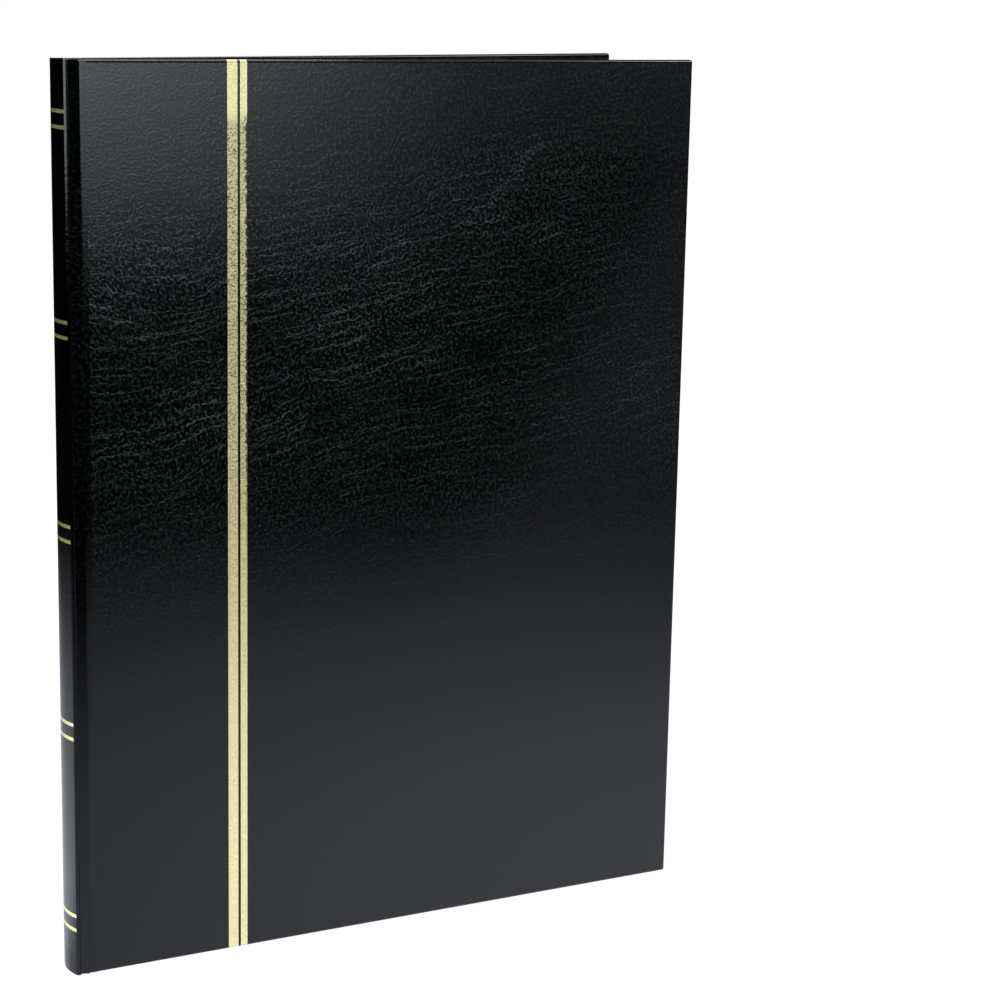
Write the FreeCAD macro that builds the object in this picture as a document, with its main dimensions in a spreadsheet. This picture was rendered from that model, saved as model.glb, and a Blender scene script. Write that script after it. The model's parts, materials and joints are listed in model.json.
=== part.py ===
import FreeCAD, Part
import Sketcher
import math
import os

from FreeCAD import Placement, Rotation, Vector

# A case-bound stockbook for stamps, standing on its bottom edges with its back cover a little open.
# Local frame of every sub-part: album closed, x from the spine's outermost line to the fore-edge,
# y across the thickness with the front cover at -y, z up from the bottom edge. Lengths in mm.

SIZES = {
    "cover_height": 305.0,
    "overall_width": 230.0,
    "spine_thickness": 16.0,
    "spine_bulge": 1.6,
    "spine_edge_inset": 0.6,
    "joint_width": 4.4,
    "shoulder_width": 0.6,
    "shoulder_rise": 0.2,
    "groove_depth": 1.0,
    "groove_rise_share": 0.72,
    "hinge_inset": 0.7,
    "board_thickness": 2.0,
    "leather_thickness": 0.4,
    "leather_edge_radius": 0.35,
    "corner_radius": 1.5,
    "turn_in_width": 15.0,
    "pastedown_thickness": 0.2,
    "pastedown_margin": 4.0,
    "inner_hinge_thickness": 0.15,
    "inner_hinge_width": 8.0,
    "spine_board_thickness": 1.2,
    "spine_lining_thickness": 0.3,
    "glue_line": 0.1,
    "front_splay": 0.0,
    "back_splay": 10.5,
    "block_clearance": 0.2,
    "leaf_height": 291.0,
    "leaf_fore_margin": 6.0,
    "card_thickness": 0.4,
    "stub_thickness": 0.6,
    "stub_length": 6.6,
    "hinge_step": 0.9,
    "hinge_clearance": 0.45,
    "linen_width": 9.0,
    "linen_thickness": 0.3,
    "interleaf_thickness": 0.1,
    "interleaf_margin": 1.0,
    "strip_thickness": 0.1,
    "strip_height": 19.0,
    "strip_pitch": 27.0,
    "strip_head_margin": 26.0,
    "strip_gutter_margin": 2.0,
    "strip_fore_margin": 10.0,
    "foil_thickness": 0.1,
    "stripe_offset": 55.3,
    "wide_stripe": 3.5,
    "stripe_gap": 0.9,
    "narrow_stripe": 2.4,
    "spine_line_height": 1.2,
    "spine_line_spacing": 5.0,
    "spine_line_end_margin": 18.5,
}

# Lengths that follow from the driving sizes.
DERIVED = {
    "half_spine": "Sizes.spine_thickness / 2",
    "half_chord": "Sizes.spine_thickness / 2 - Sizes.spine_edge_inset",
    "spine_radius": "(half_chord ^ 2 + Sizes.spine_bulge ^ 2) / (2 * Sizes.spine_bulge)",
    "spine_angle": "2 * asin(half_chord / spine_radius) / 1 deg",
    "spine_board_radius": "spine_radius - Sizes.leather_thickness",
    "lining_radius": "spine_board_radius - Sizes.spine_board_thickness",
    "foil_radius": "spine_radius - Sizes.foil_thickness",
    "board_edge": "Sizes.spine_bulge + Sizes.joint_width",
    "hinge_x": "Sizes.spine_bulge + Sizes.joint_width / 2",
    "hinge_y": "half_spine - Sizes.hinge_inset",
    "cover_length": "Sizes.overall_width - board_edge",
    "cover_thickness": "Sizes.board_thickness + 2 * Sizes.leather_thickness",
    "board_length": "cover_length - Sizes.leather_thickness",
    "board_height": "Sizes.cover_height - 2 * Sizes.leather_thickness",
    "window_length": "cover_length - Sizes.turn_in_width",
    "window_height": "Sizes.cover_height - 2 * Sizes.turn_in_width",
    "pastedown_start": "Sizes.inner_hinge_width + Sizes.block_clearance",
    "pastedown_length": "cover_length - pastedown_start - Sizes.pastedown_margin",
    "pastedown_height": "Sizes.cover_height - 2 * Sizes.pastedown_margin",
    "block_half": "half_spine - cover_thickness - Sizes.pastedown_thickness - Sizes.block_clearance",
    "lining_depth": "lining_radius - sqrt(lining_radius ^ 2 - block_half ^ 2) + Sizes.spine_lining_thickness",
    "block_back": "spine_radius - lining_radius + lining_depth",
    "leaf_foot": "(Sizes.cover_height - Sizes.leaf_height) / 2",
    "leaf_fore_edge": "Sizes.overall_width - Sizes.leaf_fore_margin",
    "interleaf_height": "Sizes.leaf_height - 2 * Sizes.interleaf_margin",
}

LEAF_COUNT = 8
STRIP_COUNT = 9
SPINE_LINE_PAIRS = 5
# Each sheet turns a little less than the sheet outside it, so an opened half fans out.
FAN_STEP = 0.015

doc = FreeCAD.newDocument("stamp_album")


def fill_sheet(name, cells):
    """Make a spreadsheet with one aliased cell per value."""
    sheet = doc.addObject("Spreadsheet::Sheet", name)
    for row, (alias, content) in enumerate(cells.items(), start=1):
        sheet.set(f"A{row}", alias)
        sheet.setAlias(f"B{row}", alias)
        sheet.set(f"B{row}", str(content) if isinstance(content, float) else "=" + content)
    doc.recompute()
    return {alias: float(sheet.get(alias)) for alias in cells}


size = fill_sheet("Sizes", SIZES)
size.update(fill_sheet("Derived", DERIVED))


def bound(alias):
    """Expression text for one aliased size."""
    return ("Sizes." if alias in SIZES else "Derived.") + alias


def bind(obj, **links):
    """Tie properties of an object to expressions."""
    for prop, expression in links.items():
        obj.setExpression(prop, expression)


FRONT, BACK = -1, 1


def side_name(side):
    """Word for a side in the sub-parts' names."""
    return "front" if side == FRONT else "back"


def splay(side):
    """Angle in degrees that a cover stands open in the rest pose."""
    return size[side_name(side) + "_splay"]


def rest_point(side, x, depth):
    """Plan point of a cover in the rest pose, x along it and depth inside its outer face."""
    turn = Rotation(Vector(0, 0, 1), side * splay(side))
    hinge = Vector(size["hinge_x"], side * size["hinge_y"], 0)
    return hinge + turn.multVec(Vector(x, side * (size["half_spine"] - depth), 0) - hinge)


def fore_corner(side):
    """Plan point where a cover reaches farthest out across the thickness, on its rounded fore-edge."""
    radius = size["leather_edge_radius"]
    return rest_point(side, size["overall_width"] - radius, radius) + Vector(0, side * radius, 0)


# The album stands centred over its origin, so the covers in the rest pose decide the shift.
middle_y = (fore_corner(FRONT).y + fore_corner(BACK).y) / 2
CENTRE = Placement(Vector(-size["overall_width"] / 2, -middle_y, 0), Rotation())


def turned(x, y, side, degrees):
    """Placement of a piece turned open about an upright axis at x, y."""
    turn = Rotation(Vector(0, 0, 1), side * degrees)
    return CENTRE * Placement(Vector(0, 0, 0), turn, Vector(x, y, 0))


def cover_place(side):
    """Placement of a cover in its rest pose."""
    return turned(size["hinge_x"], side * size["hinge_y"], side, splay(side))


def at(place, x, y, z):
    """Placement moved by a local offset."""
    return place * Placement(Vector(x, y, z), Rotation())


def slab(name, length, width, height):
    """A flat box whose three sizes are expressions."""
    box = doc.addObject("Part::Box", name)
    bind(box, Length=length, Width=width, Height=height)
    return box


def cut(name, base, tools):
    """Base minus every tool."""
    joined = tools[0]
    if len(tools) > 1:
        joined = doc.addObject("Part::MultiFuse", name + "_tools")
        joined.Shapes = tools
    result = doc.addObject("Part::Cut", name)
    result.Base = base
    result.Tool = joined
    return result


def group(name, shapes, place):
    """Separate solids of one kind in one node."""
    feature = doc.addObject("Part::Feature", name)
    feature.Shape = Part.makeCompound(shapes)
    feature.Placement = place
    return feature


def outer_y(side, depth, thickness):
    """Lowest local y of a layer that starts depth inside a cover's outer face."""
    if side == FRONT:
        return -size["half_spine"] + depth
    return size["half_spine"] - depth - thickness


sub_parts = []


def keep(obj, label, place=None):
    """Register a finished sub-part under its label and place."""
    obj.Label = label
    if place is not None:
        obj.Placement = place
    sub_parts.append(obj)
    return obj


def outline_pad(label, length, height, thickness, radius):
    """A rectangular plate on the XZ plane, with its two fore-edge corners rounded."""
    body = doc.addObject("PartDesign::Body", label)
    plane = next(f for f in body.Origin.OriginFeatures if f.Role == "XZ_Plane")
    sketch = body.newObject("Sketcher::SketchObject", label + "_outline")
    sketch.AttachmentSupport = [(plane, "")]
    sketch.MapMode = "FlatFace"
    corners = [Vector(0, 0, 0), Vector(100, 0, 0), Vector(100, 100, 0), Vector(0, 100, 0)]
    for start, end in zip(corners, corners[1:] + corners[:1]):
        sketch.addGeometry(Part.LineSegment(start, end))
    for edge in range(4):
        sketch.addConstraint(Sketcher.Constraint("Coincident", edge, 2, (edge + 1) % 4, 1))
    for edge, kind in enumerate(("Horizontal", "Vertical", "Horizontal", "Vertical")):
        sketch.addConstraint(Sketcher.Constraint(kind, edge))
    sketch.addConstraint(Sketcher.Constraint("Coincident", 0, 1, -1, 1))
    across = sketch.addConstraint(Sketcher.Constraint("DistanceX", 0, 1, 0, 2, 100))
    upward = sketch.addConstraint(Sketcher.Constraint("DistanceY", 1, 1, 1, 2, 100))
    sketch.setExpression(f"Constraints[{across}]", length)
    sketch.setExpression(f"Constraints[{upward}]", height)
    pad = body.newObject("PartDesign::Pad", label + "_plate")
    pad.Profile = sketch
    pad.Reversed = True
    bind(pad, Length=thickness)
    doc.recompute()
    fore = [f"Edge{i}" for i, edge in enumerate(pad.Shape.Edges, start=1) if is_fore_corner(edge, pad.Shape)]
    corners = body.newObject("PartDesign::Fillet", label + "_corners")
    corners.Base = (pad, fore)
    bind(corners, Radius=radius)
    body.Tip = corners
    doc.recompute()
    return body


def is_fore_corner(edge, shape):
    """True for an edge across the thickness at the fore-edge."""
    box = edge.BoundBox
    return box.YLength > 0.9 * shape.BoundBox.YLength and box.XMin > shape.BoundBox.Center.x


def rim_edges(shape, outer_at):
    """Names of the long edges of a plate's outer face, apart from the spine side."""
    names = []
    for number, edge in enumerate(shape.Edges, start=1):
        box = edge.BoundBox
        on_face = abs(box.YMin - outer_at) < 1e-6 and abs(box.YMax - outer_at) < 1e-6
        if on_face and box.XMax > shape.BoundBox.XMin + 1e-6:
            names.append(number)
    return names


def cover(side):
    """Board, leatherette wrap with turn-ins, and pastedown of one cover."""
    name = side_name(side)
    place = cover_place(side)
    leather, board = size["leather_thickness"], size["board_thickness"]
    edge = size["board_edge"]

    plate = outline_pad(name + "_board", bound("board_length"), bound("board_height"),
                        bound("board_thickness"), bound("corner_radius"))
    keep(plate, name + "_board", at(place, edge, outer_y(side, leather, board), leather))

    wrap = outline_pad(name + "_wrap", bound("cover_length"), bound("cover_height"),
                       bound("cover_thickness"), bound("corner_radius"))
    rounded = doc.addObject("Part::Fillet", name + "_wrap_rounded")
    rounded.Base = wrap
    outer_face = 0 if side == FRONT else size["cover_thickness"]
    radius = size["leather_edge_radius"]
    rounded.Edges = [(number, radius, radius) for number in rim_edges(wrap.Shape, outer_face)]
    pocket = outline_pad(name + "_wrap_pocket", bound("board_length"), bound("board_height"),
                         bound("board_thickness"), bound("corner_radius"))
    pocket.Placement.Base = Vector(0, leather, leather)
    window = slab(name + "_wrap_window", bound("window_length"), bound("leather_thickness"),
                  bound("window_height"))
    inner_face = leather + board if side == FRONT else 0
    window.Placement.Base = Vector(0, inner_face, size["turn_in_width"])
    tools = [pocket, window]
    if side == FRONT:
        tools += stripe_recesses()
    leatherette = cut(name + "_leatherette", rounded, tools)
    keep(leatherette, name + "_leatherette", at(place, edge, outer_y(side, 0, size["cover_thickness"]), 0))

    sheet = slab(name + "_pastedown_sheet", bound("pastedown_length"), bound("pastedown_thickness"),
                 bound("pastedown_height"))
    fill = slab(name + "_pastedown_fill",
                f"{bound('window_length')} - {bound('pastedown_start')}",
                bound("leather_thickness"), bound("window_height"))
    rise = size["turn_in_width"] - size["pastedown_margin"]
    sheet_y = leather if side == FRONT else 0
    fill_y = 0 if side == FRONT else size["pastedown_thickness"]
    sheet.Placement.Base = Vector(0, sheet_y, 0)
    fill.Placement.Base = Vector(0, fill_y, rise)
    pastedown = doc.addObject("Part::Fuse", name + "_pastedown")
    pastedown.Base, pastedown.Tool = sheet, fill
    layer = leather + size["pastedown_thickness"]
    keep(pastedown, name + "_pastedown",
         at(place, edge + size["pastedown_start"], outer_y(side, leather + board, layer), size["pastedown_margin"]))


def stripe_spans():
    """Start, in the front wrap, and width of the two foil stripes."""
    first = size["stripe_offset"] - size["board_edge"]
    second = first + size["wide_stripe"] + size["stripe_gap"]
    return [(first, "wide_stripe"), (second, "narrow_stripe")]


def stripe_recesses():
    """Shallow full-height recesses that the foil stripes are pressed into."""
    recesses = []
    for start, width in stripe_spans():
        recess = slab("recess_" + width, bound(width), bound("foil_thickness"), bound("cover_height"))
        recess.Placement.Base = Vector(start, 0, 0)
        recesses.append(recess)
    return recesses


def front_foil():
    """Two gilt stripes down the front cover."""
    foil, height = size["foil_thickness"], size["cover_height"]
    bars = [Part.makeBox(size[width], foil, height, Vector(start, 0, 0)) for start, width in stripe_spans()]
    place = at(cover_place(FRONT), size["board_edge"], -size["half_spine"], 0)
    keep(group("front_foil_stripes", bars, place), "front_foil_stripes")


def sector(name, radius, height):
    """Pie slice over the spine's arc, about an axis on the local z."""
    slice_ = doc.addObject("Part::Cylinder", name)
    bind(slice_, Radius=radius, Height=height, Angle=bound("spine_angle"))
    return slice_


def spine_place(z):
    """Placement of a slice that is centred on the spine's outermost line."""
    half_angle = size["spine_angle"] / 2
    return CENTRE * Placement(Vector(size["spine_radius"], 0, z), Rotation(Vector(0, 0, 1), 180 - half_angle))


def line_heights():
    """Lower edges of the gilt lines across the spine."""
    first = size["spine_line_end_margin"]
    step = (size["cover_height"] - 2 * first) / (SPINE_LINE_PAIRS - 1)
    middles = [first + step * pair for pair in range(SPINE_LINE_PAIRS)]
    half = size["spine_line_spacing"] / 2
    return [middle + offset - size["spine_line_height"] / 2 for middle in middles for offset in (-half, half)]


def line_ring(z):
    """One gilt line bent round the spine."""
    turn = (Vector(0, 0, z), Vector(0, 0, 1))
    outside = Part.makeCylinder(size["spine_radius"], size["spine_line_height"], *turn, size["spine_angle"])
    inside = Part.makeCylinder(size["foil_radius"], size["spine_line_height"], *turn, size["spine_angle"])
    return outside.cut(inside)


def spine():
    """Leatherette, board and lining of the spine, with its gilt lines."""
    rings = [line_ring(z) for z in line_heights()]
    foil = group("spine_foil_lines", rings, spine_place(0))
    keep(foil, "spine_foil_lines")
    leather = size["leather_thickness"]
    board = cut("spine_board", sector("spine_board_round", bound("spine_board_radius"), bound("board_height")),
                [sector("spine_board_inside", bound("lining_radius"), bound("board_height"))])
    keep(board, "spine_board", spine_place(leather))

    # The wrap is turned in over the board's ends at head and tail.
    pocket = sector("spine_wrap_pocket", bound("spine_board_radius"), bound("board_height"))
    pocket.Placement.Base = Vector(0, 0, leather)
    inside = sector("spine_wrap_inside", bound("lining_radius"), bound("cover_height"))
    recess = group("spine_recesses", rings, Placement())
    wrap = cut("spine_leatherette", sector("spine_wrap", bound("spine_radius"), bound("cover_height")),
               [pocket, inside, recess])
    keep(wrap, "spine_leatherette", spine_place(0))

    core = doc.addObject("Part::Cylinder", "spine_lining_round")
    bind(core, Radius=f"{bound('lining_radius')} - {bound('glue_line')}", Height=bound("leaf_height"))
    block = slab("spine_lining_block", bound("lining_depth"),
                 f"2 * {bound('block_half')}", bound("leaf_height"))
    block.Placement.Base = Vector(-size["lining_radius"], -size["block_half"], 0)
    lining = doc.addObject("Part::Common", "spine_lining")
    lining.Base, lining.Tool = core, block
    keep(lining, "spine_lining", CENTRE * Placement(Vector(size["spine_radius"], 0, size["leaf_foot"]), Rotation()))


def plan_prism(name, wire, z, height):
    """Upright prism on a closed plan outline."""
    feature = doc.addObject("Part::Feature", name)
    feature.Shape = Part.Face(wire).extrude(Vector(0, 0, height))
    feature.Placement = CENTRE * Placement(Vector(0, 0, z), Rotation())
    return feature


def joint_places(side, depth):
    """Plan points of a joint at a depth inside its outer face: shoulder, bottom of the groove, and its rise."""
    shoulder = size["spine_bulge"] + size["shoulder_width"]
    rise = (size["hinge_x"] + size["board_edge"]) / 2
    face, groove = size["half_spine"], size["groove_depth"]
    places = [(shoulder, size["half_chord"] + size["shoulder_rise"]), (size["hinge_x"], face - groove),
              (rise, face - groove * size["groove_rise_share"])]
    return [Vector(x, side * (y - depth), 0) for x, y in places]


def smooth_edge(points):
    """One smooth edge through plan points."""
    spline = Part.BSplineCurve()
    spline.interpolate(points)
    return spline.toShape()


def joint_leatherette(side):
    """The grooved strip of leatherette between spine and cover, which bends when the cover turns."""
    half_angle = math.radians(size["spine_angle"] / 2)
    ends = []
    for radius in (size["spine_radius"], size["spine_board_radius"]):
        x = size["spine_radius"] - radius * math.cos(half_angle)
        ends.append(Vector(x, side * radius * math.sin(half_angle), 0))
    outside, inside = ends
    leather = size["leather_thickness"]
    cover_outside = rest_point(side, size["board_edge"], 0)
    cover_inside = rest_point(side, size["board_edge"], leather)
    edges = [
        smooth_edge([outside] + joint_places(side, 0) + [cover_outside]),
        Part.makeLine(cover_outside, cover_inside),
        smooth_edge([cover_inside] + joint_places(side, leather)[::-1] + [inside]),
        Part.makeLine(inside, outside),
    ]
    name = side_name(side) + "_joint_leatherette"
    keep(plan_prism(name, Part.Wire(edges), 0, size["cover_height"]), name)


def inner_hinge(side):
    """Linen strip from the outermost stub to the inside of the cover."""
    thickness = size["inner_hinge_thickness"]
    stub_face = side * (-stub_y(0) + size["stub_thickness"] / 2)
    start, tip = size["block_back"], size["hinge_x"]
    near = size["board_edge"] + size["block_clearance"]
    far = size["board_edge"] + size["inner_hinge_width"]
    level = size["cover_thickness"]
    points = [
        Vector(start, stub_face, 0),
        Vector(tip, stub_face, 0),
        rest_point(side, near + thickness, level + thickness),
        rest_point(side, far, level + thickness),
        rest_point(side, far, level),
        rest_point(side, near - thickness, level),
        Vector(tip - 2 * thickness, stub_face + side * thickness, 0),
        Vector(start, stub_face + side * thickness, 0),
    ]
    wire = Part.makePolygon(points + points[:1])
    name = side_name(side) + "_inner_hinge"
    keep(plan_prism(name, wire, size["leaf_foot"], size["leaf_height"]), name)


def sheet_gap():
    """Distance from one leaf to the next, at the gutter."""
    return 2 * size["block_half"] / LEAF_COUNT


def stub_y(index):
    """Local y of a leaf's middle plane, counted from the front cover."""
    return -size["block_half"] + (index + 0.5) * sheet_gap()


def hinge_line(index):
    """Local x of a leaf's crease: creases step outwards to the middle of the block."""
    depth = min(index, LEAF_COUNT - 1 - index)
    return size["block_back"] + size["stub_length"] + size["hinge_step"] * depth


def stubs():
    """Guards glued to the spine lining, one for each leaf."""
    bars = []
    for index in range(LEAF_COUNT):
        length = hinge_line(index) - size["block_back"]
        corner = Vector(size["block_back"], stub_y(index) - size["stub_thickness"] / 2, size["leaf_foot"])
        bars.append(Part.makeBox(length, size["stub_thickness"], size["leaf_height"], corner))
    keep(group("leaf_stubs", bars, CENTRE), "leaf_stubs")


def turn_share(order):
    """Share of its cover's turn that a sheet takes, counted inwards from the cover."""
    return 1 - FAN_STEP * order


def report_hinge(name, side, x, y, share):
    """Print a sheet's hinge line and coupling."""
    spot = CENTRE.multVec(Vector(x, y, 0))
    print(f"hinge {name} {side_name(side)} {spot.x:.5f} {spot.y:.5f} {share:.4f}")


def leaf(index):
    """One card leaf with its linen hinge and the glassine strips on both pages."""
    side = FRONT if index < LEAF_COUNT // 2 else BACK
    order = 2 * min(index, LEAF_COUNT - 1 - index) + 1
    name = f"leaf_{index + 1}"
    x, y, foot = hinge_line(index), stub_y(index), size["leaf_foot"]
    place = turned(x, y, side, turn_share(order) * splay(side))
    report_hinge(name, side, x, y, turn_share(order))

    start = x + size["hinge_clearance"]
    linen = slab(f"linen_hinge_{index + 1}", bound("linen_width"), bound("linen_thickness"), bound("leaf_height"))
    keep(linen, f"linen_hinge_{index + 1}", at(place, start, y - size["linen_thickness"] / 2, foot))

    card_start = start + size["linen_width"]
    length = size["leaf_fore_edge"] - card_start
    card = slab(name, f"{bound('leaf_fore_edge')} - {card_start}", bound("card_thickness"), bound("leaf_height"))
    keep(card, name, at(place, card_start, y - size["card_thickness"] / 2, foot))

    strip_length = length - size["strip_gutter_margin"] - size["strip_fore_margin"]
    for page, face in (("front", -size["card_thickness"] / 2 - size["strip_thickness"]),
                       ("back", size["card_thickness"] / 2)):
        bars = []
        for row in range(STRIP_COUNT):
            top = foot + size["leaf_height"] - size["strip_head_margin"] - size["strip_pitch"] * row
            corner = Vector(card_start + size["strip_gutter_margin"], y + face, top - size["strip_height"])
            bars.append(Part.makeBox(strip_length, size["strip_thickness"], size["strip_height"], corner))
        label = f"{page}_strips_{index + 1}"
        keep(group(label, bars, place), label)


def interleaf(index):
    """Glassine sheet between leaf index and the next one."""
    middle = LEAF_COUNT // 2 - 1
    side = FRONT if index <= middle else BACK
    order = 2 * (index + 1) if index <= middle else 2 * (LEAF_COUNT - 1 - index)
    name = f"interleaf_{index + 1}"
    x = (hinge_line(index) + hinge_line(index + 1)) / 2
    if index == middle:
        x += size["hinge_step"] / 2
    y = (stub_y(index) + stub_y(index + 1)) / 2
    place = turned(x, y, side, turn_share(order) * splay(side))
    report_hinge(name, side, x, y, turn_share(order))
    start = x + size["hinge_clearance"]
    sheet = slab(name, f"{bound('leaf_fore_edge')} - {bound('interleaf_margin')} - {start}",
                 bound("interleaf_thickness"), bound("interleaf_height"))
    foot = size["leaf_foot"] + size["interleaf_margin"]
    keep(sheet, name, at(place, start, y - size["interleaf_thickness"] / 2, foot))


def check(objects):
    """Stop when a feature failed or a sub-part has no sound shape."""
    for obj in doc.Objects:
        if "Invalid" in obj.State or "Error" in obj.State:
            raise RuntimeError(f"{obj.Label} failed: {obj.State}")
    for obj in objects:
        if obj.Shape.isNull() or not obj.Shape.isValid() or not obj.Shape.Solids:
            raise RuntimeError(f"{obj.Label} has no sound solid")


def main():
    """Build every sub-part, check them and export them."""
    spine()
    for side in (FRONT, BACK):
        cover(side)
        joint_leatherette(side)
        inner_hinge(side)
        report_hinge(side_name(side) + "_cover", side, size["hinge_x"], side * size["hinge_y"], 1)
    front_foil()
    stubs()
    for index in range(LEAF_COUNT):
        leaf(index)
    for index in range(LEAF_COUNT - 1):
        interleaf(index)
    doc.recompute()
    check(sub_parts)
    os.makedirs("parts", exist_ok=True)
    for obj in sub_parts:
        obj.Shape.exportStep(f"parts/{obj.Label}.step")
        print(f"{obj.Label}: {len(obj.Shape.Solids)} solid(s), {obj.Shape.Volume:.1f} mm3")


main()
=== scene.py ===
"""Looks of a case-bound stockbook for stamps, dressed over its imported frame. Lengths in metres."""
from __future__ import annotations

import json
import logging
import math
from dataclasses import dataclass
from enum import Enum
from typing import Callable, Iterable, Sequence, Union

import bpy
from mathutils import Matrix, Vector

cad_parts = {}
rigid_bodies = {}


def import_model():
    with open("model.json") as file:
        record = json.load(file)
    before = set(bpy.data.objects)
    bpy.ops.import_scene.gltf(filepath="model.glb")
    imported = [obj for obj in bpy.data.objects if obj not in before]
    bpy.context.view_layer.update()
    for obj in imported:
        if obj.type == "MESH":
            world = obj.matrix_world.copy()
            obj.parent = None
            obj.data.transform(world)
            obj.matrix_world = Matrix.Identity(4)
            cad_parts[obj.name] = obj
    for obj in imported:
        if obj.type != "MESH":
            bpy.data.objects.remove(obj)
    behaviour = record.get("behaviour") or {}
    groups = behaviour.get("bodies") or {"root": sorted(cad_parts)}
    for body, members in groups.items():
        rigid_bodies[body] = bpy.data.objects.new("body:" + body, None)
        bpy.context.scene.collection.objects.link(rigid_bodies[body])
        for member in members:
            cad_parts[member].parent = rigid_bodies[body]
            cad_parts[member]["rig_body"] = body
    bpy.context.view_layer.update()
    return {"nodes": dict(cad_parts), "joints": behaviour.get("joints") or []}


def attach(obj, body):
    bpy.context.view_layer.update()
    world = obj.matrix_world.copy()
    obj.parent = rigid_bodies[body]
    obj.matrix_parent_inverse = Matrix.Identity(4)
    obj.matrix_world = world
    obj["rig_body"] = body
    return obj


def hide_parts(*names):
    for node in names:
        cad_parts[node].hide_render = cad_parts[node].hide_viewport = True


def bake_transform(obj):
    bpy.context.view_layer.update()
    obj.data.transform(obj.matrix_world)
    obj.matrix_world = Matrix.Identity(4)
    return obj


LOG = logging.getLogger("stockbook")
MM = 0.001
FRAME_PIXELS = 1000.0
SENSOR_MM = 36.0
SHEET_ROWS = 8
SAME_PLACE = 0.001 * MM
SAME_WAY = 0.99
SMOOTH_ANGLE = 60.0

Value = Union["Wire", float, int]
Colour = tuple[float, float, float]
Pair = tuple[float, float]
Piece = bpy.types.Object
Material = bpy.types.Material


class Side(Enum):
    """The two covers of the case, with the sign of y that each lies on."""

    FRONT = -1
    BACK = 1

    @property
    def label(self) -> str:
        """Name of the side in the frame's node names."""
        return self.name.lower()


def _operator(kind: str, swapped: bool = False) -> Callable[["Wire", Value], "Wire"]:
    """Method of a wire that puts one Math node behind it.

    Args:
        kind: The node's operation.
        swapped: Whether the wire is the second of the two values.

    Returns:
        The method.
    """
    def join(self: "Wire", other: Value = 0.0) -> "Wire":
        """Work out the operation on the wire and another value."""
        first, second = (other, self) if swapped else (self, other)
        return self.graph.add("ShaderNodeMath", {"operation": kind}, {0: first, 1: second})

    return join


class Wire:
    """A shader socket that takes part in Python expressions."""

    def __init__(self, graph: "Graph", socket: bpy.types.NodeSocket) -> None:
        """Keep the socket and the graph that it belongs to."""
        self.graph = graph
        self.socket = socket

    __add__ = _operator("ADD")
    __radd__ = _operator("ADD", swapped=True)
    __sub__ = _operator("SUBTRACT")
    __rsub__ = _operator("SUBTRACT", swapped=True)
    __mul__ = _operator("MULTIPLY")
    __rmul__ = _operator("MULTIPLY", swapped=True)
    __truediv__ = _operator("DIVIDE")
    __pow__ = _operator("POWER")
    least = _operator("MINIMUM")
    greatest = _operator("MAXIMUM")
    modulo = _operator("FLOORED_MODULO")
    distance = _operator("ABSOLUTE")
    sine = _operator("SINE")

    def ramp(self, low: float, high: float) -> "Wire":
        """Smooth step from 0 at low to 1 at high.

        Args:
            low: Value that gives 0.
            high: Value that gives 1; it may lie below low.

        Returns:
            The stepped value.
        """
        settings = {"interpolation_type": "SMOOTHSTEP", "clamp": True}
        if low <= high:
            return self.graph.add("ShaderNodeMapRange", settings, {0: self, 1: low, 2: high})
        return 1 - self.graph.add("ShaderNodeMapRange", settings, {0: self, 1: high, 2: low})


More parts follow.
